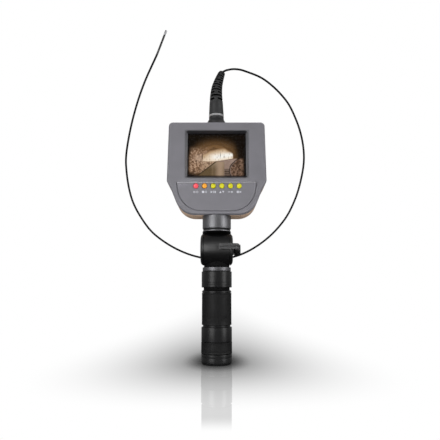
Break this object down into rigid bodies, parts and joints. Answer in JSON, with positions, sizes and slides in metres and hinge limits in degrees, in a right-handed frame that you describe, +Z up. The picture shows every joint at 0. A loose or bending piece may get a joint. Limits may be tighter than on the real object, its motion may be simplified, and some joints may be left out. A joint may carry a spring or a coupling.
{
  "type": "inspection camera",
  "caption": "Handheld inspection camera: battery handle, clamped elbow, swivelling screen head with a row of round keys, and a thin bendable probe with a camera tip.",
  "frame": {"origin": "centre of the flat end of the tail cap, on which the camera stands", "axes": "+Z up along the handle, -Y the way the screen faces, +X to the right of someone who looks at the screen"},
  "size_m": [0.2366, 0.0747, 0.4219],
  "materials": {
    "grey_shell": "fine satin texture",
    "tan_shell": "fine satin texture",
    "socket_plastic": "matte",
    "black_gloss": "semi-gloss",
    "black_anodised": "glossy black anodised",
    "black_matte_metal": "knurled matte black",
    "black_matte": "matte",
    "black_rubber": "matte",
    "probe_sheath": "satin",
    "satin_metal": "satin grey",
    "steel": "brushed",
    "brass": "satin",
    "clear": "polished",
    "board": "solder mask",
    "screen_dark": "glossy",
    "cell_wrap": "film wrapped",
    "button_red": "satin",
    "button_orange": "satin",
    "button_yellow": "satin"
  },
  "bodies": {
    "handle": {"handle_tube": "black_anodised", "lower_barrel": "black_anodised", "grip_sleeve": "black_rubber", "upper_collar": "black_anodised", "elbow_ring": "satin_metal", "battery_cell": "cell_wrap", "battery_sleeve": "black_matte", "contact_plate": "brass", "elbow_barrel": "black_gloss", "friction_disc_left": "steel", "friction_disc_right": "steel", "pivot_bolt": "steel", "spring_washer": "steel"},
    "tail": {"tail_cap": "black_anodised", "knurled_band": "black_matte_metal", "tail_seal": "black_rubber", "tail_spring": "steel"},
    "elbow": {"elbow_yoke": "black_gloss", "neck_seal": "black_rubber", "spindle_nut": "satin_metal"},
    "lever": {"lever_hub": "black_gloss", "lever_ring": "satin_metal", "lever_nut": "black_gloss", "lever_arm": "black_matte"},
    "head": {"neck_tube": "satin_metal", "neck_nut": "satin_metal", "front_shell": "grey_shell", "rear_shell": "tan_shell", "shell_gasket": "black_rubber", "screen_bezel": "black_matte", "screen_window": "clear", "display_panel": "screen_dark", "display_tray": "satin_metal", "keypad_panel": "grey_shell", "keypad_rubber": "black_rubber", "keypad_board": "board", "main_board": "board", "video_chip": "black_matte", "ribbon_socket": "socket_plastic", "case_screw_1": "steel", "case_screw_2": "steel", "case_screw_3": "steel", "case_screw_4": "steel", "probe_socket": "satin_metal", "probe_ring": "satin_metal", "strain_relief": "black_rubber", "probe_tube": "probe_sheath", "tip_ring": "steel", "camera_body": "black_matte", "tip_ferrule": "steel", "tip_lens": "clear"},
    "probe_nut": {"probe_nut": "black_matte"},
    "button_1": {"button_1": "button_red"},
    "button_2": {"button_2": "button_orange"},
    "button_3": {"button_3": "button_yellow"},
    "button_4": {"button_4": "button_yellow"},
    "button_5": {"button_5": "button_yellow"},
    "button_6": {"button_6": "button_yellow"}
  },
  "joints": [
    {"name": "elbow_tilt", "type": "hinge", "parent": "handle", "child": "elbow", "pos_m": [0, 0, 0.1356], "axis": [1, 0, 0], "range_deg": [-45, 30]},
    {"name": "neck_swivel", "type": "hinge", "parent": "elbow", "child": "head", "pos_m": [0, 0, 0.17], "axis": [0, 0, 1], "range_deg": [-90, 90]},
    {"name": "lever_turn", "type": "hinge", "parent": "handle", "child": "lever", "pos_m": [0.024, 0, 0.1356], "axis": [1, 0, 0], "range_deg": [0, 40]},
    {"name": "tail_cap_turn", "type": "hinge", "parent": "handle", "child": "tail", "pos_m": [0, 0, 0.01], "axis": [0, 0, -1], "range_deg": [0, 720]},
    {"name": "probe_nut_turn", "type": "hinge", "parent": "head", "child": "probe_nut", "pos_m": [-0.0006, 0, 0.297], "axis": [0, 0, 1], "range_deg": [0, 540]},
    {"name": "button_1_press", "type": "slide", "parent": "head", "child": "button_1", "axis": [0, 1, 0], "range_m": [0, 0.0008], "stiffness_N_per_m": 1500},
    {"name": "button_2_press", "type": "slide", "parent": "head", "child": "button_2", "axis": [0, 1, 0], "range_m": [0, 0.0008], "stiffness_N_per_m": 1500},
    {"name": "button_3_press", "type": "slide", "parent": "head", "child": "button_3", "axis": [0, 1, 0], "range_m": [0, 0.0008], "stiffness_N_per_m": 1500},
    {"name": "button_4_press", "type": "slide", "parent": "head", "child": "button_4", "axis": [0, 1, 0], "range_m": [0, 0.0008], "stiffness_N_per_m": 1500},
    {"name": "button_5_press", "type": "slide", "parent": "head", "child": "button_5", "axis": [0, 1, 0], "range_m": [0, 0.0008], "stiffness_N_per_m": 1500},
    {"name": "button_6_press", "type": "slide", "parent": "head", "child": "button_6", "axis": [0, 1, 0], "range_m": [0, 0.0008], "stiffness_N_per_m": 1500}
  ]
}
